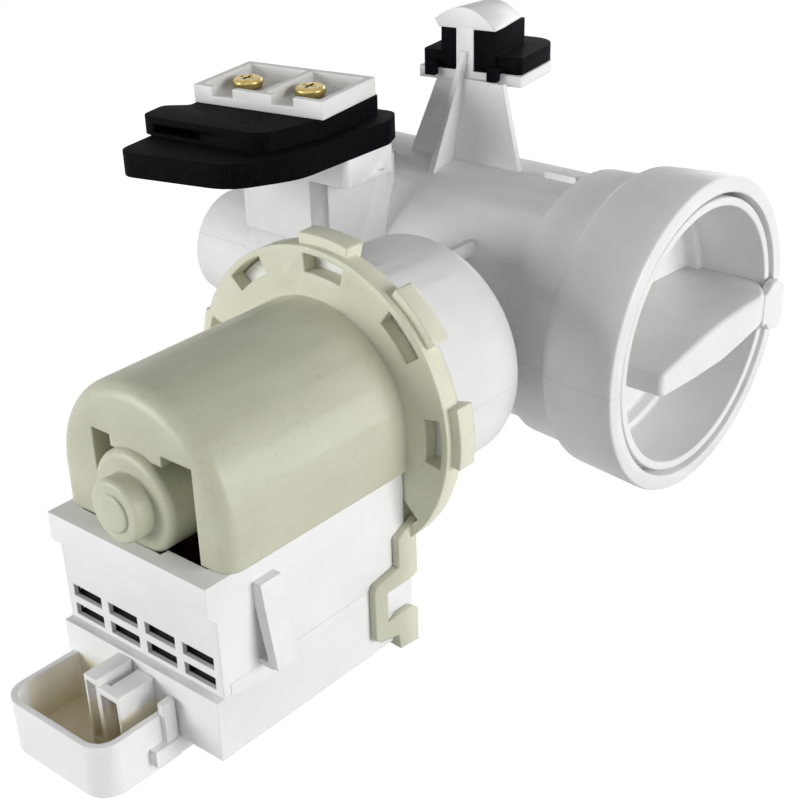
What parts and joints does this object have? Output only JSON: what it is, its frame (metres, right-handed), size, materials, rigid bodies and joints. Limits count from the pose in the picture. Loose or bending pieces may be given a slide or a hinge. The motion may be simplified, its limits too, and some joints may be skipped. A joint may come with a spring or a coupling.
{
  "type": "washer drain pump",
  "caption": "Drain pump for a front-loading washer: filter chamber with a screw cap, volute, arched synchronous motor on a coil box, rubber-isolated feet.",
  "frame": {"origin": "middle of the front foot's seat, the flat top of the flange under the front rubber, where the pump is held", "axes": "+X along the filter tube to the cap's mouth, -Y along the motor's axis to its tail, +Z out of the feet, which point down in the machine"},
  "size_m": [0.175, 0.2209, 0.1404],
  "materials": {
    "white_plastic": "satin moulded polypropylene, fine flow marks",
    "box_plastic": "satin glass-filled nylon, bright white",
    "coil_plastic": "matt glass-filled nylon",
    "impeller_plastic": "matt glass-filled polypropylene",
    "ivory_plastic": "satin natural nylon, slightly mottled",
    "black_rubber": "matt black moulded rubber",
    "black_plastic": "matt black phenolic",
    "lamination_steel": "stacked silicon steel sheets, dark edges",
    "plain_steel": "plain steel",
    "stainless": "ground stainless steel",
    "copper_wire": "enamelled copper wire, wound side by side",
    "terminal_brass": "tinned brass blade",
    "yellow_zinc": "steel, zinc plated with a yellow passivation",
    "ferrite": "sintered ferrite, ground",
    "carbon": "dense carbon graphite"
  },
  "bodies": {
    "pump": {"pump_housing": "white_plastic", "motor_housing": "ivory_plastic", "chamber_seal": "black_rubber", "stator_core": "lamination_steel", "core_rivets": "plain_steel", "coil_formers": "coil_plastic", "coil_windings": "copper_wire", "coil_box_lid": "box_plastic", "coil_box_base": "box_plastic", "terminal_block": "box_plastic", "terminal_tabs": "terminal_brass", "thermal_protector": "black_plastic", "front_bearing": "carbon", "rear_bearing": "carbon", "bearing_carrier": "black_rubber", "clamp_plate": "white_plastic", "clamp_screws": "yellow_zinc", "rear_foot": "black_rubber", "front_foot": "black_rubber"},
    "rotor": {"rotor_magnet": "ferrite", "rotor_shaft": "stainless", "rotor_driver": "coil_plastic", "thrust_washers": "stainless", "impeller_cap": "stainless"},
    "impeller": {"impeller": "impeller_plastic"},
    "filter": {"filter_cage": "white_plastic"},
    "cap": {"filter_cap": "white_plastic", "cap_seal": "black_rubber"}
  },
  "joints": [
    {"name": "rotor_spin", "type": "hinge", "parent": "pump", "child": "rotor", "pos_m": [0.0215, -0.106, -0.0597], "axis": [0, -1, 0], "continuous": true},
    {"name": "impeller_play", "type": "hinge", "parent": "rotor", "child": "impeller", "pos_m": [0.0215, -0.066, -0.0597], "axis": [0, -1, 0], "range_deg": [-128, 128]},
    {"name": "filter_slide", "type": "slide", "parent": "pump", "child": "filter", "axis": [1, 0, 0], "range_m": [0, 0.014]},
    {"name": "cap_turn", "type": "hinge", "parent": "filter", "child": "cap", "pos_m": [0.0757, -0.006, -0.0597], "axis": [1, 0, 0], "range_deg": [0, 126.5]}
  ],
  "couplings": [
    {"joint": "cap_turn", "follows": "filter_slide", "rad_per_m": 157.08}
  ]
}
